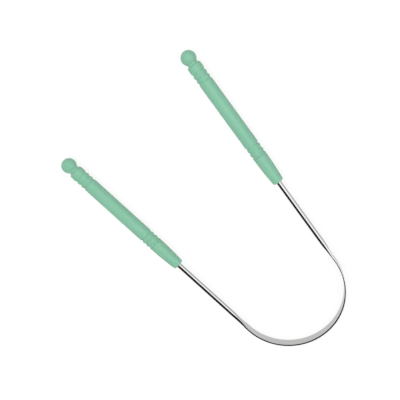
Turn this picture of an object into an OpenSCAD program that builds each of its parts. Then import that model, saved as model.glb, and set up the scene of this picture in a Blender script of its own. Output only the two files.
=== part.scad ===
// Tongue scraper: one bent spring wire, rolled flat round its bend, with a handle pressed on each end.
// It lies flat, with the plane of the wire level. +Y points from the handles to the bend, +Z is up.
// The origin is under the middle of the whole object, at the lowest point of the two balls.

/* [Wire] */
// Diameter of the round wire
wire_d = 2.3; // [1.6:0.1:3]
// Bevel on each cut end of the wire, hidden in its handle
wire_bevel = 0.3; // [0.1:0.05:0.6]
// Length of wire held inside each handle
grip_len = 34; // [15:1:50]

/* [Scraping band] */
// Width of the rolled band, square to the plane of the wire
band_w = 5.9; // [4:0.1:8]
// Thickness of the rolled band
band_t = 0.7; // [0.4:0.05:1.2]
// Radius of the slight crown across each rolled edge of the band
edge_crown_r = 2; // [1.8:0.1:4]
// Rounding of the band's four long corners
corner_r = 0.1; // [0.05:0.01:0.15]
// Radius of the bend, to the middle of the band
bend_r = 27.2; // [18:0.1:40]
// Straight flat run between the bend and the flare
flat_run = 1; // [0.8:0.1:12]
// Length over which the round wire flares into the flat band
flare_len = 10.2; // [5:0.1:20]

/* [Legs] */
// Angle by which each leg leans away from the middle line
leg_splay = 5.4; // [0:0.1:15]
// Straight wire and flare between a handle's nose and the bend
leg_len = 46.5; // [36:0.1:80]

/* [Ball and collar] */
// Diameter of the ball at the end of a handle
ball_d = 7.3; // [6:0.1:10]
// Diameter of the neck between ball and collar
neck_d = 5; // [3.6:0.1:5.6]
// Distance from the ball's centre to the back of the collar
neck_reach = 3.5; // [3:0.1:6]
// Diameter of the collar
collar_d = 6.85; // [6.4:0.05:9]
// Length of the collar
collar_len = 4.1; // [2:0.1:8]
// Rounding of the collar's rim beside the neck
collar_back_r = 1.1; // [0.4:0.05:1.6]
// Rounding of the collar's rim beside the beads
collar_rim_r = 0.6; // [0.3:0.05:1]

/* [Beads] */
// Number of beads in each of the two groups
bead_count = 2; // [1:1:4]
// Diameter over a bead
bead_d = 6.8; // [6.3:0.1:8]
// Length of one bead, whose crown is one arc from groove to groove
bead_len = 1.95; // [1.5:0.05:3]
// Width of a groove at its floor
groove_w = 0.45; // [0.2:0.05:1]
// Diameter at the floor of a groove
groove_d = 6; // [5:0.1:6.2]

/* [Barrel and nose] */
// Diameter of the barrel
barrel_d = 6.8; // [6.3:0.05:9]
// Length of the barrel
barrel_len = 36.4; // [20:0.1:60]
// Rounding of the rims at both ends of the barrel
barrel_rim_r = 0.5; // [0.2:0.05:1]
// Diameter of the nose where it starts
nose_d = 6.7; // [6.3:0.05:9]
// Length of the nose
nose_len = 15.9; // [10:0.05:24]
// Radius of the long curve that draws the nose in
nose_crown_r = 175; // [110:5:400]
// Rounding where the nose meets its flat end
nose_end_r = 0.6; // [0.3:0.05:1]

/* [Fit of wire and handle] */
// How much smaller the bore is than the wire that is pressed into it
press_bite = 0.02; // [0.01:0.01:0.05]
// Depth of the bore beyond the end of the wire
bore_spare = 1; // [0.3:0.1:4]
// Width of the lead-in at the bore's mouth
bore_lead = 0.25; // [0.1:0.05:0.5]

/* [Hidden] */
$fn = 64;

// Overrun of a cut past the face that it opens
cut_over = 0.5;
// Length by which each end of a flare sits inside its neighbour, and how far under its surface
flare_lap = 0.3;
flare_inset = 0.01;
// Points round each corner of the band's section, and steps along the flare
corner_points = 8;
flare_steps = 24;

// Stations along a handle, measured from the ball's centre towards the nose
bead_group_len = groove_w + bead_count * (bead_len + groove_w);
collar_end = neck_reach + collar_len;
barrel_start = collar_end + bead_group_len;
barrel_end = barrel_start + barrel_len;
nose_start = barrel_end + bead_group_len;
handle_reach = nose_start + nose_len;

// Places in the plane of the wire, measured from the centre of the bend
leg_reach = leg_len + handle_reach;
ball_x = bend_r * cos(leg_splay) + leg_reach * sin(leg_splay);
ball_y = bend_r * sin(leg_splay) - leg_reach * cos(leg_splay);
bend_front = bend_r + band_t / 2;
balls_back = ball_y - ball_d / 2;
mid_y = (bend_front + balls_back) / 2;
wire_z = max(ball_d, collar_d, barrel_d, bead_d, nose_d, band_w) / 2;

// Half angle of the crown on an edge of thickness t, between its two rounded corners
function crown_half(t, corner) = asin((t / 2 - corner) / (edge_crown_r - corner));
// A quarter of the section's area that lies beyond the flat sides
function quarter_cap(t, corner) = let (half = crown_half(t, corner))
    (pow(edge_crown_r, 2) - pow(corner, 2)) * half * PI / 360 + pow(corner, 2) * PI / 4
    - pow(edge_crown_r - corner, 2) * sin(half) * cos(half) / 2;

// Height of the band's flat sides above its middle, and the areas of metal in the wire and in the band
band_up = band_w / 2 - edge_crown_r
    + (edge_crown_r - corner_r) * cos(crown_half(band_t, corner_r));
wire_area = PI * wire_d * wire_d / 4;
band_area = 4 * (band_t / 2 * band_up + quarter_cap(band_t, corner_r));

// Gentle start and end for a share that runs from 0 to 1
function eased(share) = share * share * (3 - 2 * share);
// Thickness, corners and area of metal along the flare, and the height of its flat sides that this needs
function flare_t(share) = wire_d + (band_t - wire_d) * eased(share);
function flare_corner(share) = flare_t(share) / 2 + (corner_r - flare_t(share) / 2) * eased(share);
function flare_area(share) = wire_area + (band_area - wire_area) * eased(share);
function flare_up(share) = (flare_area(share) / 4 - quarter_cap(flare_t(share), flare_corner(share)))
    / (flare_t(share) / 2);

// Points of one rounded corner and of the crown's top, on the side where across is positive
function corner_outline(t, corner, up) = let (half = crown_half(t, corner)) concat(
    [for (i = [0 : corner_points - 1])
        let (a = (i + 1 / 2) / corner_points * (90 - half))
            [t / 2 - corner + corner * cos(a), up + corner * sin(a)]],
    [[0, up + edge_crown_r - (edge_crown_r - corner) * cos(half)]]
);
// Outline of a flattened wire as [across, up]: flat sides, rounded corners and crowned edges
function flat_section(t, corner, up) = let (
    one = corner_outline(t, corner, up),
    edge = concat(one, [for (i = [corner_points - 1 : -1 : 0]) [-one[i][0], one[i][1]]])
) concat(edge, -edge);

// Moves a shape from the plane of the bend's centre to its place in the whole object
module place() {
    translate([0, -mid_y, wire_z]) children();
}

// Stands a shape that runs along +Z on the right leg: 0 is where the bend ends, + is to the handle
module on_leg() {
    translate([bend_r * cos(leg_splay), bend_r * sin(leg_splay), 0])
        rotate([0, 0, leg_splay])
            rotate([90, 0, 0])
                children();
}

// The wire and its copy on the other side of the middle line
module both_legs() {
    on_leg() children();
    mirror([1, 0, 0]) on_leg() children();
}

// Round wire from the flare to its bevelled end inside the handle
module round_leg() {
    start = flat_run + flare_len;
    end = leg_len + grip_len;
    translate([0, 0, start]) cylinder(d = wire_d, h = end - wire_bevel - start);
    translate([0, 0, end - wire_bevel])
        cylinder(d1 = wire_d, d2 = wire_d - 2 * wire_bevel, h = wire_bevel);
}

// Loft from the flat band to the round wire, with its metal kept from section to section
module flare() {
    n = 2 * (2 * corner_points + 1);
    inset_band = [band_t - 2 * flare_inset, corner_r, band_up - flare_inset];
    inset_wire = [wire_d - 2 * flare_inset, wire_d / 2 - flare_inset, 0];
    // Each ring is [distance from the bend, [thickness, corner, height of the flat sides]]
    rings = concat(
        [for (at = [-flare_lap, 0]) [at, inset_band]],
        [[flat_run / 2, [band_t, corner_r, band_up]]],
        [for (i = [0 : flare_steps - 1])
            let (share = 1 - i / flare_steps)
                [flat_run + flare_len * i / flare_steps,
                    [flare_t(share), flare_corner(share), flare_up(share)]]],
        [for (at = [flat_run + flare_len, flat_run + flare_len + flare_lap]) [at, inset_wire]]
    );
    last = len(rings) - 1;
    polyhedron(
        points = [for (r = rings) for (p = flat_section(r[1][0], r[1][1], r[1][2])) [p[0], p[1], r[0]]],
        faces = concat(
            [[for (i = [0 : n - 1]) i]],
            [[for (i = [n - 1 : -1 : 0]) last * n + i]],
            [for (k = [0 : last - 1], i = [0 : n - 1])
                [k * n + i, (k + 1) * n + i, (k + 1) * n + (i + 1) % n]],
            [for (k = [0 : last - 1], i = [0 : n - 1])
                [k * n + i, (k + 1) * n + (i + 1) % n, k * n + (i + 1) % n]]
        )
    );
}

// The bend, a half turn of band less what the leaning legs take off at each side
module bend() {
    rotate([0, 0, leg_splay])
        rotate_extrude(angle = 180 - 2 * leg_splay)
            translate([bend_r, 0]) polygon(flat_section(band_t, corner_r, band_up));
}

// Spring wire bow: two round legs, two flares and the flat scraping bend, one piece of metal
module scraper_bow() {
    color("silver") place() {
        bend();
        both_legs() {
            flare();
            round_leg();
        }
    }
}

// Half outline of a turned length from start to end. Its first rim is the one on the ball's side
module turned(start, end, d, first_r, last_r) {
    first_h = start + first_r;
    last_h = end - last_r;
    translate([0, start]) square([d / 2 - first_r, last_h - start]);
    translate([0, first_h]) square([d / 2, last_h - first_h]);
    translate([0, first_h]) square([d / 2 - last_r, end - first_h]);
    translate([d / 2 - first_r, first_h]) circle(r = first_r);
    translate([d / 2 - last_r, last_h]) circle(r = last_r);
}

// Half outlines of one group of beads, with a groove before, between and after them
module beads(start) {
    crown_h = (bead_d - groove_d) / 2;
    crown_r = (pow(bead_len / 2, 2) + pow(crown_h, 2)) / (2 * crown_h);
    pitch = bead_len + groove_w;
    for (i = [0 : bead_count - 1])
        translate([0, start + groove_w / 2 + i * pitch])
            intersection() {
                translate([bead_d / 2 - crown_r, pitch / 2]) circle(r = crown_r);
                square([bead_d / 2, pitch]);
            }
}

// Half outline of the nose: a long curve that starts level and is rounded into the flat end
module nose() {
    crown_x = nose_d / 2 - nose_crown_r;
    round_h = nose_len - nose_end_r;
    round_x = crown_x + sqrt(pow(nose_crown_r - nose_end_r, 2) - pow(round_h, 2));
    translate([0, nose_start]) {
        intersection() {
            translate([crown_x, 0]) circle(r = nose_crown_r, $fn = 6 * $fn);
            square([nose_d / 2, round_h]);
        }
        translate([0, round_h - nose_end_r]) square([round_x, 2 * nose_end_r]);
        translate([round_x, round_h]) circle(r = nose_end_r);
    }
}

// Half outline of the whole handle, with the ball's centre at the bottom of its axis
module handle_outline() {
    intersection() {
        circle(d = ball_d);
        translate([0, -ball_d]) square([ball_d, 2 * ball_d]);
    }
    square([neck_d / 2, neck_reach + collar_len / 2]);
    turned(neck_reach, collar_end, collar_d, collar_back_r, collar_rim_r);
    translate([0, collar_end - collar_len / 2])
        square([groove_d / 2, handle_reach - nose_len / 2 - collar_end + collar_len / 2]);
    beads(collar_end);
    turned(barrel_start, barrel_end, barrel_d, barrel_rim_r, barrel_rim_r);
    beads(barrel_end);
    nose();
}

// Moulded handle, turned in outline, with a blind bore that grips the wire
module handle() {
    bore_d = wire_d - press_bite;
    bore_len = grip_len + bore_spare;
    difference() {
        rotate_extrude() handle_outline();
        translate([0, 0, handle_reach - bore_len]) cylinder(d = bore_d, h = bore_len + cut_over);
        translate([0, 0, handle_reach - bore_lead])
            cylinder(d1 = bore_d, d2 = bore_d + 2 * (bore_lead + cut_over), h = bore_lead + cut_over);
    }
}

// Turns a handle so that its nose meets the leg, with the ball at the far end
module handle_on_leg() {
    place() on_leg() translate([0, 0, leg_reach]) rotate([180, 0, 0]) handle();
}

module right_handle() {
    color("mediumaquamarine") handle_on_leg();
}

module left_handle() {
    color("mediumaquamarine") mirror([1, 0, 0]) handle_on_leg();
}

scraper_bow();
left_handle();
right_handle();
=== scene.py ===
# %% [markdown]
# # A tongue scraper: one steel bow and two moulded handles
# The real object is three pieces. A length of polished spring wire is rolled flat in its middle and bent
# into a U, and a satin plastic handle is pressed on each of its two ends. The engineering model already
# holds the sizes, so this script loads it as a frame and dresses it. Nothing is fitted by eye: each
# piece takes its place from the frame's own nodes.

# %% Load the frame
import math

import bmesh
import bpy
from mathutils import Matrix, Vector


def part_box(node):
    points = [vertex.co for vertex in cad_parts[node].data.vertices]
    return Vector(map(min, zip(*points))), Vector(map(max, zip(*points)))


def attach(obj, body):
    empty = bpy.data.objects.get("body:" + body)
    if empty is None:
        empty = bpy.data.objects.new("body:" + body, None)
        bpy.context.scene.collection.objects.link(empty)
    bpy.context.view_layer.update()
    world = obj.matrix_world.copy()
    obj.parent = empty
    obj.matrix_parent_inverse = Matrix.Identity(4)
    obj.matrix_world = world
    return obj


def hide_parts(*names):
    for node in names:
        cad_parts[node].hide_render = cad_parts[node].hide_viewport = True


MM = 0.001

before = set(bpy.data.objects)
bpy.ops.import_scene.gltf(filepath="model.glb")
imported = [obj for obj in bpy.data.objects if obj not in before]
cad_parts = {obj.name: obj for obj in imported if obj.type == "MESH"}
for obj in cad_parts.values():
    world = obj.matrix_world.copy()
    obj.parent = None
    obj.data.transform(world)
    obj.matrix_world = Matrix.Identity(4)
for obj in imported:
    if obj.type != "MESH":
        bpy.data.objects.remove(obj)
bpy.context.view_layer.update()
bow_low, bow_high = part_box("scraper_bow")
grip_low, grip_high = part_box("right_handle")
print("CAD nodes:", sorted(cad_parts))

# %% [markdown]
# ## Sizes
# A model is easier to trust when each size has one name and one place. The wire, the band and the turned
# handle are given here in millimetres, as on a drawing. What can be read off the frame is read off it:
# how wide the band and the ball are, how high the wire lies, where the bend's centre is and where each
# ball sits. One size differs from the frame's: the band's corners are drawn at 0.05 mm and not at 0.1 mm,
# because a sharp corner keeps the edge a crisp line from afar.

# %% Sizes of the bow and the handle
WIRE_D = 2.3
BAND_T = 0.7
EDGE_CROWN_R = 2.0
CORNER_R = 0.05
BAND_W = (bow_high.z - bow_low.z) / MM
BEND_R = 27.2
FLAT_RUN = 1.0
FLARE_LEN = 10.2
LEG_SPLAY = math.radians(5.4)
LEG_LEN = 46.5
GRIP_LEN = 34.0

BALL_D = (grip_high.z - grip_low.z) / MM
NECK_D = 5.0
COLLAR_D = 6.85
COLLAR_FROM = 3.5
COLLAR_LEN = 4.1
BEAD_D = 6.8
BEAD_LEN = 1.95
BEAD_COUNT = 2
GROOVE_W = 0.45
GROOVE_D = 6.0
BARREL_D = 6.8
BARREL_LEN = 36.4
NOSE_D = 6.7
NOSE_LEN = 15.9
NOSE_CROWN_R = 175.0

wire_z = (bow_high.z + bow_low.z) / 2
bend_centre = Vector((0, bow_high.y - (BEND_R + BAND_T / 2) * MM, wire_z))
ball_centre = Vector((grip_high.x - BALL_D / 2 * MM, grip_low.y + BALL_D / 2 * MM, wire_z))
print("bend centre", bend_centre, "right ball", ball_centre)

# %% [markdown]
# ## The camera
# The photo was taken from well above, with the tool turned so that its bend points to the lower right.
# A fit to both handles, to the two legs and to the bend gave the place of the lens and how long it is.
# The near handle is a twentieth larger in the picture than the far one, which fixes the distance.
# Blender's camera looks along its own -Z, so its matrix is built from three directions: right, up and
# back.

# %% Place the camera
PICTURE_PX = 400
FOCAL_PX = 850
SENSOR_W = 36
CLIP_NEAR = 10 * MM
CAMERA_AT = Vector((-89.44, -71.28, 389.26)) * MM
LOOKS_AT = Vector((2.14, -16.08, 3.65)) * MM
PICTURE_UP = Vector((-0.6291, -0.7344, -0.2545))


def aimed(at, target, up):
    """The matrix of a camera or lamp that stands at a point and looks at another, with this side up."""
    back = (at - target).normalized()
    right = up.cross(back).normalized()
    turned = Matrix((right, back.cross(right), back)).transposed()
    return Matrix.Translation(at) @ turned.to_4x4()


camera_data = bpy.data.cameras.new("camera")
camera_data.sensor_width = SENSOR_W
camera_data.lens = SENSOR_W * FOCAL_PX / PICTURE_PX
camera_data.clip_start = CLIP_NEAR
camera = bpy.data.objects.new("camera", camera_data)
camera.matrix_world = aimed(CAMERA_AT, LOOKS_AT, PICTURE_UP)
bpy.context.scene.collection.objects.link(camera)
bpy.context.scene.camera = camera
print("lens", camera_data.lens, "mm, distance", (CAMERA_AT - LOOKS_AT).length)

# %% [markdown]
# ## Helpers for nodes
# Colours are easiest to choose as they look on a screen, but Blender computes with linear light, so one
# function turns a hex code into linear values. Another adds a node of any kind and links its inputs. With
# it, geometry, materials and the world are all written as a list of short steps. The third starts a
# material with its shader and output, as all of them begin the same way.

# %% Helpers


def linear(hex_code):
    """A screen colour such as "88C4A2" as the linear RGBA values that a shader needs."""
    shares = [int(hex_code[i:i + 2], 16) / 255 for i in (0, 2, 4)]
    return [s / 12.92 if s <= 0.04045 else ((s + 0.055) / 1.055) ** 2.4 for s in shares] + [1]


def add(tree, kind, settings=None, inputs=None):
    """Adds a node. inputs are values, sockets, or nodes, which stand for their first output."""
    node = tree.nodes.new(kind)
    for name, value in (settings or {}).items():
        setattr(node, name, value)
    for key, value in (inputs or {}).items():
        if isinstance(value, bpy.types.Node):
            value = value.outputs[0]
        if isinstance(value, bpy.types.NodeSocket):
            tree.links.new(value, node.inputs[key])
        else:
            node.inputs[key].default_value = value
    return node


def new_material(name):
    """An empty node material with its Principled shader and its output, joined up."""
    material = bpy.data.materials.new(name)
    material.use_nodes = True
    tree = material.node_tree
    tree.nodes.clear()
    shader = add(tree, "ShaderNodeBsdfPrincipled")
    add(tree, "ShaderNodeOutputMaterial", inputs={"Surface": shader})
    return material, tree, shader


print("screen colour 808080 is", round(linear("808080")[0], 3), "in linear light")

# %% [markdown]
# ## Polished stainless steel
# The bow is drawn spring steel, tumbled and polished. Steel has next to no colour of its own: it mirrors
# what is round it, a little greyer and a little warmer. So the finish is a metal with a low roughness,
# and the light does the rest. Handling leaves it duller in spots. Drawing and rolling leave lines that
# run along the wire. They must follow the bend, so the pattern reads an attribute, `straight_place`, that
# says where each point was before the wire was bent. The real lines are a few micrometres apart. They
# are drawn at 0.12 mm, which still shows only close up. A noise texture keeps mostly to the middle of its
# range, so each pattern is stretched from the part of the range that it fills.

# %% Steel
LINE_SPACING = 0.12 * MM
LINE_LENGTH = 14 * MM
LINE_DEPTH = 0.002 * MM
LINE_STRENGTH = 0.25
HANDLING_SPOT = 5 * MM
SPOT_RANGE = (0.35, 0.7)
NOISE_RANGE = (0.3, 0.7)
POLISHED = 0.075
LINED = 0.135
HANDLED_MORE = 0.05

steel, tree, shader = new_material("polished_drawn_stainless_steel")
shader.inputs["Base Color"].default_value = linear("D2D2D1")
shader.inputs["Metallic"].default_value = 1
place = add(tree, "ShaderNodeAttribute", {"attribute_name": "straight_place"})
along = add(tree, "ShaderNodeMapping", {"vector_type": "POINT"}, {
    "Vector": place.outputs["Vector"],
    "Scale": (1 / LINE_LENGTH, 1 / LINE_SPACING, 1 / LINE_SPACING)})
lines = add(tree, "ShaderNodeTexNoise", inputs={
    "Vector": along, "Scale": 1, "Detail": 2, "Roughness": 0.6})
spots = add(tree, "ShaderNodeTexNoise", inputs={
    "Vector": place.outputs["Vector"], "Scale": 1 / HANDLING_SPOT, "Detail": 3})
lined = add(tree, "ShaderNodeMapRange", inputs={
    "Value": lines.outputs[0], "From Min": NOISE_RANGE[0], "From Max": NOISE_RANGE[1],
    "To Min": POLISHED, "To Max": LINED})
handled = add(tree, "ShaderNodeMapRange", inputs={
    "Value": spots.outputs[0], "From Min": SPOT_RANGE[0], "From Max": SPOT_RANGE[1],
    "To Min": 0, "To Max": HANDLED_MORE})
rough = add(tree, "ShaderNodeMath", {"operation": "ADD"}, {0: lined, 1: handled})
tree.links.new(rough.outputs[0], shader.inputs["Roughness"])
grooves = add(tree, "ShaderNodeBump", inputs={
    "Height": lines.outputs[0], "Strength": LINE_STRENGTH, "Distance": LINE_DEPTH})
tree.links.new(grooves.outputs[0], shader.inputs["Normal"])
print("made", steel.name)

# %% [markdown]
# ## Satin moulded plastic
# The handles are moulded in a mint green ABS. The mould is spark eroded, which gives the skin a fine,
# even grain: highlights spread out and lose their edge, and the rim turns pale where the eye grazes it,
# which a little sheen draws. Pigment is never quite even, so the green drifts a little over some
# millimetres. The plastic lets a little light in, which softens the dark side of each bead. The real
# grain is about 0.05 mm. It is drawn at 0.2 mm, as a shallow bump with a roughness that changes with it,
# so that it reads as satin.

# %% Plastic
ABS_IOR = 1.53
GRAIN = 0.2 * MM
GRAIN_DEPTH = 0.008 * MM
GRAIN_STRENGTH = 0.3
SATIN_LOW = 0.38
SATIN_HIGH = 0.48
DRIFT = 9 * MM
SHEEN = 0.28
LIGHT_IN = 0.12
LIGHT_REACH = 0.6 * MM
REACH_BY_COLOUR = (0.8, 1.0, 0.9)

plastic, tree, shader = new_material("satin_mint_abs")
shader.inputs["IOR"].default_value = ABS_IOR
shader.inputs["Subsurface Weight"].default_value = LIGHT_IN
shader.inputs["Subsurface Scale"].default_value = LIGHT_REACH
shader.inputs["Subsurface Radius"].default_value = REACH_BY_COLOUR
shader.inputs["Sheen Weight"].default_value = SHEEN
place = add(tree, "ShaderNodeTexCoord")
drift = add(tree, "ShaderNodeTexNoise", inputs={
    "Vector": place.outputs["Object"], "Scale": 1 / DRIFT, "Detail": 2})
grain = add(tree, "ShaderNodeTexNoise", inputs={
    "Vector": place.outputs["Object"], "Scale": 1 / GRAIN, "Detail": 2})
tint = add(tree, "ShaderNodeMix", {"data_type": "RGBA"}, {
    "Factor": drift.outputs[0], 6: linear("83C1A2"), 7: linear("8BC8AB")})
tree.links.new(tint.outputs[2], shader.inputs["Base Color"])
satin = add(tree, "ShaderNodeMapRange", inputs={
    "Value": grain.outputs[0], "From Min": NOISE_RANGE[0], "From Max": NOISE_RANGE[1],
    "To Min": SATIN_LOW, "To Max": SATIN_HIGH})
tree.links.new(satin.outputs[0], shader.inputs["Roughness"])
skin = add(tree, "ShaderNodeBump", inputs={
    "Height": grain.outputs[0], "Strength": GRAIN_STRENGTH, "Distance": GRAIN_DEPTH})
tree.links.new(skin.outputs[0], shader.inputs["Normal"])
print("made", plastic.name)

# %% [markdown]
# ## The bow, as a swept section
# The bow could be modelled by hand from a curve and edited rings, but its shape follows a rule, so
# Geometry Nodes can work it out. A straight tube is made first, and each of its points knows two numbers:
# how far along the wire it lies, and how far round the section. A formula then puts each point where it
# belongs. Along the wire, a bend of a little less than half a turn joins two straight legs. Round the
# wire, the section has two flat sides, four rounded corners and two edges with a slight crown. In the
# round wire the corners are all there is. Rolling keeps the metal's area, so as the thickness falls in
# the flare the width has to grow.

# %% The bow's tree: inputs and the straight tube
MATH = "ShaderNodeMath"
bow_tree = bpy.data.node_groups.new("bow_sweep", "GeometryNodeTree")
for kind, names in (
    ("NodeSocketVector", ("Bend centre",)),
    ("NodeSocketFloat", ("Bend radius", "Leg splay", "Leg length", "Wire diameter", "Wire area")),
    ("NodeSocketFloat", ("Band thickness", "Band area", "Crown radius", "Corner radius")),
    ("NodeSocketFloat", ("Flat run", "Flare length")),
    ("NodeSocketInt", ("Rings", "Points round")),
    ("NodeSocketMaterial", ("Steel",)),
):
    for name in names:
        bow_tree.interface.new_socket(name=name, in_out="INPUT", socket_type=kind)
bow_tree.interface.new_socket(name="Bow", in_out="OUTPUT", socket_type="NodeSocketGeometry")
given = add(bow_tree, "NodeGroupInput").outputs

line = add(bow_tree, "GeometryNodeCurvePrimitiveLine", inputs={"Start": (-1, 0, 0), "End": (1, 0, 0)})
path = add(bow_tree, "GeometryNodeResampleCurve", inputs={"Curve": line, "Count": given["Rings"]})
ring = add(bow_tree, "GeometryNodeCurvePrimitiveCircle", inputs={
    "Resolution": given["Points round"], "Radius": 1.0})
path_share = add(bow_tree, "GeometryNodeSplineParameter")
ring_share = add(bow_tree, "GeometryNodeSplineParameter")
path_kept = add(bow_tree, "GeometryNodeCaptureAttribute", inputs={"Geometry": path})
path_kept.capture_items.new("FLOAT", "along")
bow_tree.links.new(path_share.outputs["Factor"], path_kept.inputs["along"])
ring_kept = add(bow_tree, "GeometryNodeCaptureAttribute", inputs={"Geometry": ring})
ring_kept.capture_items.new("FLOAT", "round")
bow_tree.links.new(ring_share.outputs["Factor"], ring_kept.inputs["round"])
tube = add(bow_tree, "GeometryNodeCurveToMesh", inputs={
    "Curve": path_kept.outputs["Geometry"], "Profile Curve": ring_kept.outputs["Geometry"],
    "Fill Caps": True})
print("inputs:", ", ".join(socket.name for socket in given if socket.name))

# %% [markdown]
# ### Along the wire
# `distance` runs from minus to plus half of the wire's length, with zero at the middle of the bend. Up
# to the end of the bend it is an angle times the radius, and past it the path runs straight. The
# direction out of the bend stays square to the path, so it also serves as the section's own sideways
# axis.

# %% Path of the wire
quarter_turn = add(bow_tree, MATH, {"operation": "SUBTRACT"}, {0: math.pi / 2, 1: given["Leg splay"]})
half_bend = add(bow_tree, MATH, {"operation": "MULTIPLY"}, {0: quarter_turn, 1: given["Bend radius"]})
half_wire = add(bow_tree, MATH, {"operation": "ADD"}, {0: half_bend, 1: given["Leg length"]})
both_ways = add(bow_tree, MATH, {"operation": "MULTIPLY_ADD"}, {
    0: path_kept.outputs["along"], 1: 2, 2: -1})
distance = add(bow_tree, MATH, {"operation": "MULTIPLY"}, {0: both_ways, 1: half_wire})
side = add(bow_tree, MATH, {"operation": "SIGN"}, {0: distance})
reach = add(bow_tree, MATH, {"operation": "ABSOLUTE"}, {0: distance})
bent = add(bow_tree, MATH, {"operation": "MINIMUM"}, {0: reach, 1: half_bend})
angle = add(bow_tree, MATH, {"operation": "DIVIDE"}, {0: bent, 1: given["Bend radius"]})
straight = add(bow_tree, MATH, {"operation": "SUBTRACT"}, {0: reach, 1: bent})
sine = add(bow_tree, MATH, {"operation": "SINE"}, {0: angle})
cosine = add(bow_tree, MATH, {"operation": "COSINE"}, {0: angle})
sideways = add(bow_tree, MATH, {"operation": "MULTIPLY"}, {0: sine, 1: side})
outward = add(bow_tree, "ShaderNodeCombineXYZ", inputs={"X": sideways, "Y": cosine})
lean_x = add(bow_tree, MATH, {"operation": "MULTIPLY"}, {0: cosine, 1: side})
lean_y = add(bow_tree, MATH, {"operation": "MULTIPLY"}, {0: sine, 1: -1.0})
down_leg = add(bow_tree, "ShaderNodeCombineXYZ", inputs={"X": lean_x, "Y": lean_y})
on_bend = add(bow_tree, "ShaderNodeVectorMath", {"operation": "MULTIPLY_ADD"}, {
    0: outward, 1: given["Bend radius"], 2: given["Bend centre"]})
on_path = add(bow_tree, "ShaderNodeVectorMath", {"operation": "MULTIPLY_ADD"}, {
    0: down_leg, 1: straight, 2: on_bend})
print("path written with", len(bow_tree.nodes), "nodes so far")

# %% [markdown]
# ### The section at each place
# A smooth step takes the thickness from the band's to the wire's along the flare. Two more do the same
# for the corners, from a small radius to half the thickness, and for the area of metal. The crown on each
# edge is an arc that touches both of its corners, which gives its half angle. What the corners and the
# crown don't fill of a quarter of the area is the flat side's, and that gives the height at which the
# corner starts.

# %% Thickness, corner and height along the wire
flare_end = add(bow_tree, MATH, {"operation": "ADD"}, {0: given["Flat run"], 1: given["Flare length"]})
thickness = add(bow_tree, "ShaderNodeMapRange", {"interpolation_type": "SMOOTHSTEP"}, {
    "Value": straight, "From Min": given["Flat run"], "From Max": flare_end,
    "To Min": given["Band thickness"], "To Max": given["Wire diameter"]})
half_t = add(bow_tree, MATH, {"operation": "MULTIPLY"}, {0: thickness, 1: 0.5})
corner = add(bow_tree, "ShaderNodeMapRange", {"interpolation_type": "SMOOTHSTEP"}, {
    "Value": straight, "From Min": given["Flat run"], "From Max": flare_end,
    "To Min": given["Corner radius"], "To Max": half_t})
area = add(bow_tree, "ShaderNodeMapRange", {"interpolation_type": "SMOOTHSTEP"}, {
    "Value": straight, "From Min": given["Flat run"], "From Max": flare_end,
    "To Min": given["Band area"], "To Max": given["Wire area"]})
corner_at = add(bow_tree, MATH, {"operation": "SUBTRACT"}, {0: half_t, 1: corner})
arm = add(bow_tree, MATH, {"operation": "SUBTRACT"}, {0: given["Crown radius"], 1: corner})
crown_sine = add(bow_tree, MATH, {"operation": "DIVIDE"}, {0: corner_at, 1: arm})
crown_half = add(bow_tree, MATH, {"operation": "ARCSINE"}, {0: crown_sine})
crown_cosine = add(bow_tree, MATH, {"operation": "COSINE"}, {0: crown_half})
corner_square = add(bow_tree, MATH, {"operation": "MULTIPLY"}, {0: corner, 1: corner})
crown_square = add(bow_tree, MATH, {"operation": "MULTIPLY"}, {
    0: given["Crown radius"], 1: given["Crown radius"]})
squares = add(bow_tree, MATH, {"operation": "SUBTRACT"}, {0: crown_square, 1: corner_square})
crown_sector = add(bow_tree, MATH, {"operation": "MULTIPLY"}, {0: squares, 1: crown_half})
arm_along = add(bow_tree, MATH, {"operation": "MULTIPLY"}, {0: arm, 1: crown_cosine})
arm_box = add(bow_tree, MATH, {"operation": "MULTIPLY"}, {0: arm_along, 1: corner_at})
crown_cap = add(bow_tree, MATH, {"operation": "SUBTRACT"}, {0: crown_sector, 1: arm_box})
half_cap = add(bow_tree, MATH, {"operation": "MULTIPLY"}, {0: crown_cap, 1: 0.5})
cap = add(bow_tree, MATH, {"operation": "MULTIPLY_ADD"}, {0: corner_square, 1: math.pi / 4, 2: half_cap})
quarter_area = add(bow_tree, MATH, {"operation": "MULTIPLY"}, {0: area, 1: 0.25})
flat_area = add(bow_tree, MATH, {"operation": "SUBTRACT"}, {0: quarter_area, 1: cap})
flat_up = add(bow_tree, MATH, {"operation": "DIVIDE"}, {0: flat_area, 1: half_t})
print("section written with", len(bow_tree.nodes), "nodes so far")

# %% [markdown]
# ### Round the section
# One quarter of the outline is enough: `fold` runs up and down twice in a turn, and the signs of a sine
# and a cosine say which quarter it is. A quarter is walked up its flat side, round its corner and over
# half of the crown. The corner is short but turns most, so the walk counts it as longer than it is, and
# more points fall there. The crown is counted as longer too, but by less.

# %% Outline of the section
CORNER_WEIGHT = 12.0
CROWN_WEIGHT = 3.0

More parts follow.
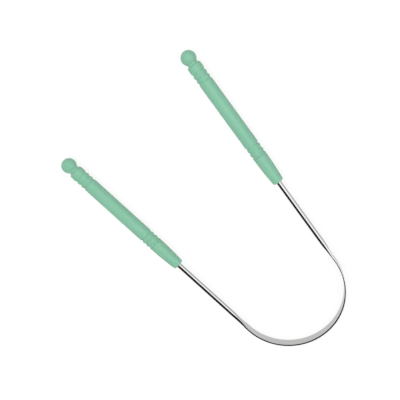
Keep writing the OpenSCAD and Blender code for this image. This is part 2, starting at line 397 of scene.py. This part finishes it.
corner_turn = add(bow_tree, MATH, {"operation": "SUBTRACT"}, {0: math.pi / 2, 1: crown_half})
corner_pace = add(bow_tree, MATH, {"operation": "MULTIPLY"}, {0: corner, 1: CORNER_WEIGHT})
corner_walk = add(bow_tree, MATH, {"operation": "MULTIPLY"}, {0: corner_turn, 1: corner_pace})
crown_pace = add(bow_tree, MATH, {"operation": "MULTIPLY"}, {0: given["Crown radius"], 1: CROWN_WEIGHT})
to_crown = add(bow_tree, MATH, {"operation": "ADD"}, {0: flat_up, 1: corner_walk})
whole_walk = add(bow_tree, MATH, {"operation": "MULTIPLY_ADD"}, {
    0: crown_half, 1: crown_pace, 2: to_crown})
quarters = add(bow_tree, MATH, {"operation": "MULTIPLY"}, {0: ring_kept.outputs["round"], 1: 4.0})
fold = add(bow_tree, MATH, {"operation": "PINGPONG"}, {0: quarters, 1: 1.0})
walked = add(bow_tree, MATH, {"operation": "MULTIPLY"}, {0: fold, 1: whole_walk})
on_flat = add(bow_tree, MATH, {"operation": "MINIMUM"}, {0: walked, 1: flat_up})
past_flat = add(bow_tree, MATH, {"operation": "SUBTRACT"}, {0: walked, 1: on_flat})
on_corner = add(bow_tree, MATH, {"operation": "MINIMUM"}, {0: past_flat, 1: corner_walk})
on_crown = add(bow_tree, MATH, {"operation": "SUBTRACT"}, {0: past_flat, 1: on_corner})
corner_angle = add(bow_tree, MATH, {"operation": "DIVIDE"}, {0: on_corner, 1: corner_pace})
crown_angle = add(bow_tree, MATH, {"operation": "DIVIDE"}, {0: on_crown, 1: crown_pace})
outline_angle = add(bow_tree, MATH, {"operation": "ADD"}, {0: corner_angle, 1: crown_angle})
arm_angle = add(bow_tree, MATH, {"operation": "MAXIMUM"}, {0: outline_angle, 1: corner_turn})
outline_cosine = add(bow_tree, MATH, {"operation": "COSINE"}, {0: outline_angle})
outline_sine = add(bow_tree, MATH, {"operation": "SINE"}, {0: outline_angle})
arm_cosine = add(bow_tree, MATH, {"operation": "COSINE"}, {0: arm_angle})
arm_sine = add(bow_tree, MATH, {"operation": "SINE"}, {0: arm_angle})
arm_rise = add(bow_tree, MATH, {"operation": "SUBTRACT"}, {0: arm_sine, 1: crown_cosine})
arm_across = add(bow_tree, MATH, {"operation": "MULTIPLY"}, {0: arm, 1: arm_cosine})
across_size = add(bow_tree, MATH, {"operation": "MULTIPLY_ADD"}, {
    0: outline_cosine, 1: corner, 2: arm_across})
corner_up = add(bow_tree, MATH, {"operation": "MULTIPLY_ADD"}, {
    0: outline_sine, 1: corner, 2: on_flat})
up_size = add(bow_tree, MATH, {"operation": "MULTIPLY_ADD"}, {0: arm, 1: arm_rise, 2: corner_up})
turn = add(bow_tree, MATH, {"operation": "MULTIPLY"}, {0: ring_kept.outputs["round"], 1: 2 * math.pi})
turn_cosine = add(bow_tree, MATH, {"operation": "COSINE"}, {0: turn})
turn_sine = add(bow_tree, MATH, {"operation": "SINE"}, {0: turn})
out_or_in = add(bow_tree, MATH, {"operation": "SIGN"}, {0: turn_cosine})
up_or_down = add(bow_tree, MATH, {"operation": "SIGN"}, {0: turn_sine})
across = add(bow_tree, MATH, {"operation": "MULTIPLY"}, {0: across_size, 1: out_or_in})
up = add(bow_tree, MATH, {"operation": "MULTIPLY"}, {0: up_size, 1: up_or_down})
print("outline written with", len(bow_tree.nodes), "nodes so far")

# %% [markdown]
# ### Put the points in place
# The last steps move each point of the tube to its place, and keep its place on the straight wire as an
# attribute for the steel's lines. The tree ends by setting the finish, as an exported mesh needs it.

# %% Finish the tree
raised = add(bow_tree, "ShaderNodeCombineXYZ", inputs={"Z": up})
in_plane = add(bow_tree, "ShaderNodeVectorMath", {"operation": "MULTIPLY_ADD"}, {
    0: outward, 1: across, 2: on_path})
bent_place = add(bow_tree, "ShaderNodeVectorMath", {"operation": "ADD"}, {0: in_plane, 1: raised})
straight_place = add(bow_tree, "ShaderNodeCombineXYZ", inputs={"X": distance, "Y": across, "Z": up})
kept = add(bow_tree, "GeometryNodeStoreNamedAttribute", {"data_type": "FLOAT_VECTOR"}, {
    "Geometry": tube, "Name": "straight_place", "Value": straight_place})
moved = add(bow_tree, "GeometryNodeSetPosition", inputs={"Geometry": kept, "Position": bent_place})
smooth = add(bow_tree, "GeometryNodeSetShadeSmooth", inputs={0: moved})
solid = add(bow_tree, "GeometryNodeRealizeInstances", inputs={0: smooth})
steeled = add(bow_tree, "GeometryNodeSetMaterial", inputs={
    "Geometry": solid, "Material": given["Steel"]})
add(bow_tree, "NodeGroupOutput", inputs={"Bow": steeled})
print("the bow's tree has", len(bow_tree.nodes), "nodes")

# %% [markdown]
# ### Run the tree once
# A Geometry Nodes modifier would work the bow out again on every change, and an exported model can't hold
# it. So the tree runs once, the result becomes a plain mesh and the modifier goes. The band's area is
# worked out here from its width, thickness, crown and corners, by the sum that the tree turns round.

# %% Make the bow
RINGS = 601
POINTS_ROUND = 96


def link_mesh(name, mesh):
    """An object at the origin that holds a mesh whose points are already in place."""
    piece = bpy.data.objects.new(name, mesh)
    bpy.context.scene.collection.objects.link(piece)
    return piece


def baked(piece, tree, values):
    """Runs a tree on a piece with these named inputs, and leaves the result as its plain mesh."""
    modifier = piece.modifiers.new("tree", "NODES")
    modifier.node_group = tree
    for item in tree.interface.items_tree:
        if item.in_out == "INPUT":
            modifier[item.identifier] = values[item.name]
    evaluated = piece.evaluated_get(bpy.context.evaluated_depsgraph_get())
    mesh = bpy.data.meshes.new_from_object(evaluated)
    piece.modifiers.remove(modifier)
    piece.data = mesh
    return piece


def face_outwards(piece):
    """Turns every face of a closed mesh outwards."""
    shape = bmesh.new()
    shape.from_mesh(piece.data)
    bmesh.ops.recalc_face_normals(shape, faces=shape.faces)
    shape.to_mesh(piece.data)
    shape.free()


def band_area():
    """The area of metal in the band's section, in square millimetres."""
    arm_mm = EDGE_CROWN_R - CORNER_R
    corner_at_mm = BAND_T / 2 - CORNER_R
    half = math.asin(corner_at_mm / arm_mm)
    arm_up = arm_mm * math.cos(half)
    flat_mm = BAND_W / 2 - EDGE_CROWN_R + arm_up
    crown_mm2 = ((EDGE_CROWN_R ** 2 - CORNER_R ** 2) * half - arm_up * corner_at_mm) / 2
    corner_mm2 = math.pi / 4 * CORNER_R ** 2
    return 4 * (BAND_T / 2 * flat_mm + crown_mm2 + corner_mm2)


bow = baked(link_mesh("steel_bow", bpy.data.meshes.new("steel_bow")), bow_tree, {
    "Bend centre": bend_centre,
    "Bend radius": BEND_R * MM,
    "Leg splay": LEG_SPLAY,
    "Leg length": (LEG_LEN + GRIP_LEN) * MM,
    "Wire diameter": WIRE_D * MM,
    "Wire area": math.pi / 4 * WIRE_D ** 2 * MM ** 2,
    "Band thickness": BAND_T * MM,
    "Band area": band_area() * MM ** 2,
    "Crown radius": EDGE_CROWN_R * MM,
    "Corner radius": CORNER_R * MM,
    "Flat run": FLAT_RUN * MM,
    "Flare length": FLARE_LEN * MM,
    "Rings": RINGS,
    "Points round": POINTS_ROUND,
    "Steel": steel})
face_outwards(bow)
print("bow has", len(bow.data.vertices), "points and", len(bow.data.polygons), "faces")

# %% [markdown]
# ## The turned outline of a handle
# Each handle looks turned on a lathe, because its mould was. It could be stacked from spheres and
# cylinders, but their seams would show. The best way to such a shape is a half outline that is spun
# round the axis. The outline is a chain of arcs: every rim is an arc that bulges out, and it runs into a
# smaller one that hollows in, so that no corner there is sharp. Stations are measured from the centre of
# the ball towards the nose.

# %% Arcs and rims
RIM_STEPS = 7
HOLLOW_STEPS = 5
HOLLOW_R = 0.22


def arc(r, station, radius, start_deg, end_deg, steps=RIM_STEPS):
    """Points of an arc round (r, station). 0 degrees is away from the axis, 90 is towards the nose."""
    turns = [math.radians(start_deg + (end_deg - start_deg) * i / steps) for i in range(steps + 1)]
    return [(r + radius * math.cos(a), station + radius * math.sin(a)) for a in turns]


def rim(diameter, rim_r, corner, towards, floor_d):
    """A rounded rim and the hollow beside it. towards is 1 if it faces the nose, and -1 if the ball."""
    r = diameter / 2 - rim_r
    station = corner - towards * rim_r
    hollow_at = floor_d / 2 + HOLLOW_R
    over = max(0, hollow_at - r)
    apart = math.sqrt((rim_r + HOLLOW_R) ** 2 - over ** 2)
    lean = towards * math.degrees(math.atan2(apart, over))
    points = arc(r, station, rim_r, 0, lean)
    points += arc(hollow_at, station + towards * apart, HOLLOW_R, 180 + lean, 180, HOLLOW_STEPS)
    return points if towards > 0 else points[::-1]


def ridge(start, length, diameter, rims, floors):
    """A collar or barrel. rims and floors are the radii of its rims and the diameters beside it."""
    return (rim(diameter, rims[0], start, -1, floors[0])
            + rim(diameter, rims[1], start + length, 1, floors[1]))


def beads(start):
    """A group of beads, each of them one crowned arc, and the station where the group ends."""
    crown_h = (BEAD_D - GROOVE_D) / 2
    crown_r = ((BEAD_LEN / 2) ** 2 + crown_h ** 2) / (2 * crown_h)
    points = []
    station = start + GROOVE_W
    for _ in range(BEAD_COUNT):
        middle = station + BEAD_LEN / 2
        points += ridge(middle - crown_r, 2 * crown_r, BEAD_D, (crown_r, crown_r), (GROOVE_D, GROOVE_D))
        station += BEAD_LEN + GROOVE_W
    return points, station


print("two beads and their grooves take", beads(0)[1], "mm")

# %% [markdown]
# ### The whole half outline
# The ball comes first, with the shallow scar where the moulding was cut from its runner. Then come the
# neck, the collar, two beads, the barrel, two more beads and the nose. The nose is one long arc that
# starts level and draws in to a small flat end, where the wire enters. The bore ends blind, 1 mm past the
# wire's end. It is drawn a hair wider than the wire, so that the two meshes don't cross.

# %% Outline
BALL_STEPS = 26
NOSE_STEPS = 24
COLLAR_BACK_R = 1.1
COLLAR_RIM_R = 0.6
BARREL_RIM_R = 0.5
NOSE_END_R = 0.6
SCAR_R = 0.6
SCAR_WALL = 0.08
SCAR_DEPTH = 0.075
NECK_HOLLOW_R = 0.15
BORE_LEAD = 0.2
BORE_CLEARANCE = 0.02
BORE_SPARE = 1.0
BORE_R = WIRE_D / 2 + BORE_CLEARANCE
BORE_DEPTH = GRIP_LEN + BORE_SPARE

ball_r = BALL_D / 2
neck_meets = math.degrees(math.acos((NECK_D / 2 + NECK_HOLLOW_R) / (ball_r + NECK_HOLLOW_R)))
scar_edge = math.degrees(math.asin(math.sqrt(1 - (SCAR_R / ball_r) ** 2)))
outline = [(0, -ball_r + SCAR_DEPTH), (SCAR_R - SCAR_WALL, -ball_r + SCAR_DEPTH)]
outline += arc(0, 0, ball_r, -scar_edge, neck_meets, BALL_STEPS)
neck_hollow_at = NECK_D / 2 + NECK_HOLLOW_R
neck_hollow_station = (ball_r + NECK_HOLLOW_R) * math.sin(math.radians(neck_meets))
outline += arc(neck_hollow_at, neck_hollow_station, NECK_HOLLOW_R, 180 + neck_meets, 180, HOLLOW_STEPS)

outline += ridge(COLLAR_FROM, COLLAR_LEN, COLLAR_D, (COLLAR_BACK_R, COLLAR_RIM_R), (NECK_D, GROOVE_D))
first_beads, barrel_from = beads(COLLAR_FROM + COLLAR_LEN)
outline += first_beads
outline += ridge(barrel_from, BARREL_LEN, BARREL_D, (BARREL_RIM_R, BARREL_RIM_R), (GROOVE_D, GROOVE_D))
second_beads, station = beads(barrel_from + BARREL_LEN)
outline += second_beads
outline += rim(NOSE_D, BARREL_RIM_R, station, -1, GROOVE_D)

crown_at = NOSE_D / 2 - NOSE_CROWN_R
nose_round_at = NOSE_LEN - NOSE_END_R
nose_lean = math.degrees(math.asin(nose_round_at / (NOSE_CROWN_R - NOSE_END_R)))
end_r = crown_at + (NOSE_CROWN_R - NOSE_END_R) * math.cos(math.radians(nose_lean))
level = math.degrees(BARREL_RIM_R / NOSE_CROWN_R)
outline += arc(crown_at, station, NOSE_CROWN_R, level, nose_lean, NOSE_STEPS)
outline += arc(end_r, station + nose_round_at, NOSE_END_R, nose_lean, 90)
handle_reach = station + NOSE_LEN
outline += [(BORE_R + BORE_LEAD, handle_reach), (BORE_R, handle_reach - BORE_LEAD),
            (BORE_R, handle_reach - BORE_DEPTH), (0, handle_reach - BORE_DEPTH)]
print("outline of", len(outline), "points, handle reaches", handle_reach, "mm from the ball's centre")

# %% [markdown]
# ## Spinning the outline
# Blender can spin an outline with a Screw modifier, but here the mesh is built ring by ring, because one
# thing isn't round: the two halves of the mould leave a fine parting line down each side, in the plane
# of the wire. The rings have extra points there, and those stand out by a few hundredths of a
# millimetre. The ball has no line, as it is tumbled clean. Both handles come from this one function, each
# on its own leg.

# %% Handle meshes
TURNS = 96
PARTING_W = 0.14
PARTING_H = 0.025
PARTING_FROM = NECK_D / 2
LINE_EDGE = PARTING_W / BARREL_D
LINE_FOOT = 2 * LINE_EDGE


def ring_angles():
    """Angles round a handle, with four more at each parting line: its two edges and its two feet."""
    angles = [2 * math.pi * i / TURNS for i in range(TURNS)]
    for line in (0, math.pi):
        for shift in (-LINE_FOOT, -LINE_EDGE, LINE_EDGE, LINE_FOOT):
            angles.append((line + shift) % (2 * math.pi))
    return sorted(angles)


def parting_height(angle, r, station):
    """How far the parting line stands out at this place."""
    from_line = abs(math.remainder(angle, math.pi))
    on_line = from_line < (LINE_EDGE + LINE_FOOT) / 2 and r > PARTING_FROM
    return PARTING_H if on_line and COLLAR_FROM < station < handle_reach - NOSE_END_R else 0


def make_handle(name, hand):
    """One handle on the right leg (hand = 1) or the left leg (hand = -1)."""
    centre = Vector((hand * ball_centre.x, ball_centre.y, ball_centre.z))
    to_nose = Vector((-hand * math.sin(LEG_SPLAY), math.cos(LEG_SPLAY), 0))
    outwards = Vector((hand * math.cos(LEG_SPLAY), math.sin(LEG_SPLAY), 0))
    shape = bmesh.new()
    rings = []
    for r, station in outline:
        middle = centre + to_nose * station * MM
        if r == 0:
            rings.append([shape.verts.new(middle)])
            continue
        ring = []
        for angle in ring_angles():
            out = (r + parting_height(angle, r, station)) * MM
            ring.append(shape.verts.new(
                middle + outwards * out * math.cos(angle) + Vector((0, 0, out * math.sin(angle)))))
        rings.append(ring)
    for one, two in zip(rings, rings[1:]):
        count = max(len(one), len(two))
        for i in range(count):
            j = (i + 1) % count
            if len(one) == 1:
                shape.faces.new((one[0], two[j], two[i]))
            elif len(two) == 1:
                shape.faces.new((one[i], one[j], two[0]))
            else:
                shape.faces.new((one[i], one[j], two[j], two[i]))
    bmesh.ops.recalc_face_normals(shape, faces=shape.faces)
    for face in shape.faces:
        face.smooth = True
    mesh = bpy.data.meshes.new(name)
    shape.to_mesh(mesh)
    shape.free()
    mesh.materials.append(plastic)
    return link_mesh(name, mesh)


right_grip = make_handle("right_moulded_grip", 1)
left_grip = make_handle("left_moulded_grip", -1)
print("each handle has", len(right_grip.data.polygons), "faces")

# %% [markdown]
# ## The floor
# The photo's ground is plain white. Enough light to clip a floor to white would bleach the object too.
# So this floor lights the object from below, as matt paper would, but to the camera most of its
# brightness is its own: it shows as white and keeps only a faint shadow. It is left out of the steel's
# mirror images, because the world has a ground of its own for them.

# %% Floor
PAPER_ROUGH = 0.9
PAPER_GLOSS = 0.1
FLOOR_HALF = 3000 * MM
FLOOR_GAP = 0.02 * MM
OWN_LIGHT = 0.84
SHADED = 0.18

paper, tree, shader = new_material("matt_white_paper")
shader.inputs["Base Color"].default_value = linear("EEEEEC")
shader.inputs["Roughness"].default_value = PAPER_ROUGH
shader.inputs["Specular IOR Level"].default_value = PAPER_GLOSS
rays = add(tree, "ShaderNodeLightPath")
shaded = add(tree, "ShaderNodeBsdfDiffuse", inputs={"Color": (SHADED, SHADED, SHADED, 1)})
own_light = add(tree, "ShaderNodeEmission", inputs={"Color": (1, 1, 1, 1), "Strength": OWN_LIGHT})
seen = add(tree, "ShaderNodeAddShader", inputs={0: shaded, 1: own_light})
eye_or_gloss = add(tree, MATH, {"operation": "ADD", "use_clamp": True}, {
    0: rays.outputs["Is Camera Ray"], 1: rays.outputs["Is Glossy Ray"]})
any_view = add(tree, MATH, {"operation": "ADD", "use_clamp": True}, {
    0: eye_or_gloss, 1: rays.outputs["Is Transmission Ray"]})
mixed = add(tree, "ShaderNodeMixShader", inputs={0: any_view, 1: shader, 2: seen})
output = next(n for n in tree.nodes if n.type == "OUTPUT_MATERIAL")
tree.links.new(mixed.outputs[0], output.inputs["Surface"])

floor_mesh = bpy.data.meshes.new("floor")
floor_corners = [
    (x * FLOOR_HALF, y * FLOOR_HALF, -FLOOR_GAP) for x, y in ((-1, -1), (1, -1), (1, 1), (-1, 1))]
floor_mesh.from_pydata(floor_corners, [], [(0, 1, 2, 3)])
floor_mesh.materials.append(paper)
floor = link_mesh("floor", floor_mesh)
floor.visible_glossy = False
print("floor under the object, face normal", floor_mesh.polygons[0].normal)

# %% [markdown]
# ## The world
# Plastic and paper take their light from all round, so to them the world is evenly bright. Polished
# metal has nothing but its reflections, so to a mirror the world is a studio: pale ground straight below,
# walls that go from dark grey to light grey towards the horizon, a bright cap where the soft box hangs,
# and one side that fades to black. A photo of a real studio would do this too, but a few smooth steps over
# height and side are easier to tune, and leave no pattern on the steel. To the camera the world is white.

# %% World
EVEN_LIGHT = 0.45
GROUND = 0.78
GROUND_FROM = -0.80
GROUND_TO = -0.88
GREY_LOW = 0.22
GREY_HIGH = 0.85
GREY_FROM = -0.55
GREY_TO = -0.15
BOX_BRIGHT = 1.5
BOX_FROM = 0.55
BOX_TO = 0.65
CARD_SIDE = (1, 0, 0)
BLACK_CARD = 0.035
DARK_FROM = 0.35
DARK_TO = 0.8

world = bpy.data.worlds.new("studio")
world.use_nodes = True
bpy.context.scene.world = world
tree = world.node_tree
tree.nodes.clear()
direction = add(tree, "ShaderNodeTexCoord")
height = add(tree, "ShaderNodeSeparateXYZ", inputs={0: direction.outputs["Generated"]})
to_card = add(tree, "ShaderNodeVectorMath", {"operation": "DOT_PRODUCT"}, {
    0: direction.outputs["Generated"], 1: CARD_SIDE})
walls = add(tree, "ShaderNodeMapRange", inputs={
    "Value": height.outputs["Z"], "From Min": GREY_FROM, "From Max": GREY_TO,
    "To Min": GREY_LOW, "To Max": GREY_HIGH})
over = add(tree, "ShaderNodeMapRange", {"interpolation_type": "SMOOTHSTEP"}, {
    "Value": height.outputs["Z"], "From Min": BOX_FROM, "From Max": BOX_TO,
    "To Min": walls, "To Max": BOX_BRIGHT})
carded = add(tree, "ShaderNodeMapRange", {"interpolation_type": "SMOOTHSTEP"}, {
    "Value": to_card.outputs["Value"], "From Min": DARK_FROM, "From Max": DARK_TO,
    "To Min": over, "To Max": BLACK_CARD})
mirrored = add(tree, "ShaderNodeMapRange", {"interpolation_type": "SMOOTHSTEP"}, {
    "Value": height.outputs["Z"], "From Min": GROUND_TO, "From Max": GROUND_FROM,
    "To Min": GROUND, "To Max": carded})
rays = add(tree, "ShaderNodeLightPath")
even = add(tree, "ShaderNodeBackground", inputs={"Color": (1, 1, 1, 1), "Strength": EVEN_LIGHT})
reflected = add(tree, "ShaderNodeBackground", inputs={"Color": (1, 1, 1, 1), "Strength": mirrored})
white = add(tree, "ShaderNodeBackground", inputs={"Color": (1, 1, 1, 1), "Strength": 1.0})
eye_or_through = add(tree, MATH, {"operation": "ADD", "use_clamp": True}, {
    0: rays.outputs["Is Camera Ray"], 1: rays.outputs["Is Transmission Ray"]})
to_gloss = add(tree, "ShaderNodeMixShader", inputs={
    0: rays.outputs["Is Glossy Ray"], 1: even, 2: reflected})
to_eye = add(tree, "ShaderNodeMixShader", inputs={0: eye_or_through, 1: to_gloss, 2: white})
add(tree, "ShaderNodeOutputWorld", inputs={"Surface": to_eye})
print("even light of", EVEN_LIGHT, "and mirror images from", BLACK_CARD, "to", BOX_BRIGHT)

# %% [markdown]
# ## The black card
# In the photo a black line runs along the band's edge and stops part of the way round. The world alone
# can't end it there, as it is equally far from every point of the steel. A card of black felt can: it
# hangs over one side of the object, and its near edge lies just past the middle line. Only mirror-like
# rays see it, so it takes no light from the handles and casts no shadow.

# %% Black card
CARD_HEIGHT = 204 * MM
CARD_NEAR = -8 * MM
CARD_DEPTH = 500 * MM
CARD_HALF_LENGTH = 600 * MM

felt, tree, shader = new_material("black_felt")
shader.inputs["Base Color"].default_value = linear("202020")
shader.inputs["Roughness"].default_value = 1
shader.inputs["Specular IOR Level"].default_value = 0

card_out = Vector(CARD_SIDE).normalized()
card_along = Vector((-card_out.y, card_out.x, 0))
card_far = CARD_NEAR + CARD_DEPTH
card_corners = [
    card_out * out + card_along * along * CARD_HALF_LENGTH + Vector((0, 0, CARD_HEIGHT))
    for out, along in ((CARD_NEAR, -1), (CARD_NEAR, 1), (card_far, 1), (card_far, -1))]
card_mesh = bpy.data.meshes.new("black_card")
card_mesh.from_pydata(card_corners, [], [(0, 1, 2, 3)])
card_mesh.materials.append(felt)
black_card = link_mesh("black_card", card_mesh)
black_card.visible_camera = False
black_card.visible_diffuse = False
black_card.visible_shadow = False
black_card.visible_transmission = False
black_card.visible_volume_scatter = False
print("card's underside faces", card_mesh.polygons[0].normal)

# %% [markdown]
# ## The lamp
# A large soft box nearly overhead gives the handles their soft light and shade. Its power follows from
# its size and from the brightness of the world's cap. It isn't mirrored itself, because that cap stands
# for it: the cap has a soft edge, and the lamp's own edge would draw a hard line on the steel.

# %% Lamp
BOX_FAR = 700 * MM
BOX_HALF_ANGLE = math.radians(35)
BOX_TOWARDS = Vector((0.05, -0.12, 1))

box_size = 2 * BOX_FAR * math.tan(BOX_HALF_ANGLE)
box_data = bpy.data.lights.new("soft_box", "AREA")
box_data.shape = "SQUARE"
box_data.size = box_size
box_data.energy = BOX_BRIGHT * math.pi * box_size ** 2
soft_box = bpy.data.objects.new("soft_box", box_data)
box_at = BOX_TOWARDS.normalized() * BOX_FAR
soft_box.matrix_world = aimed(box_at, Vector(), Vector(CARD_SIDE))
soft_box.visible_camera = False
soft_box.visible_glossy = False
bpy.context.scene.collection.objects.link(soft_box)
print("soft box of", box_data.energy, "W")

# %% [markdown]
# ## Hand the pieces over
# Each piece rides on the frame's one body and stands for its own node.

# %% Ride and replace
for piece, node, slot in (
    (bow, "scraper_bow", "spring_steel"),
    (left_grip, "left_handle", "handle_plastic"),
    (right_grip, "right_handle", "handle_plastic"),
):
    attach(piece, "root")
    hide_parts(node)

scene_view = bpy.context.scene.view_settings
scene_view.view_transform = "Standard"
